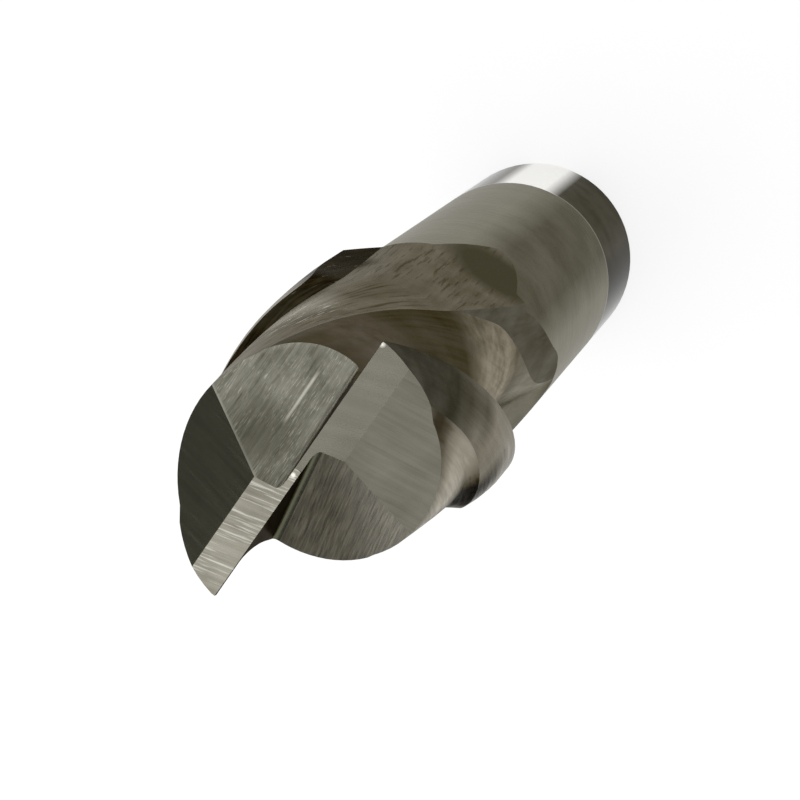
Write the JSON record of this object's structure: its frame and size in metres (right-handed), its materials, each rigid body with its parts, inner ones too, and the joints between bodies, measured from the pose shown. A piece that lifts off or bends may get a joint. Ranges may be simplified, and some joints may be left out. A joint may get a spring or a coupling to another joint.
{
  "type": "slot drill",
  "caption": "Slot drill: a solid steel milling cutter with helical flutes, end teeth that cut to the centre and a plain cylindrical shank.",
  "frame": {"origin": "centre of the flat end face of the shank", "axes": "+Z along the tool's axis toward the cutting end, +X through the outer corner of the first end tooth"},
  "size_m": [0.0222, 0.0222, 0.0953],
  "materials": {
    "ground_steel": "ground high-speed steel, fine grinding lines, mirror-polished band at the shank's end"
  },
  "bodies": {
    "root": {"slot_drill": "ground_steel"}
  },
  "joints": []
}
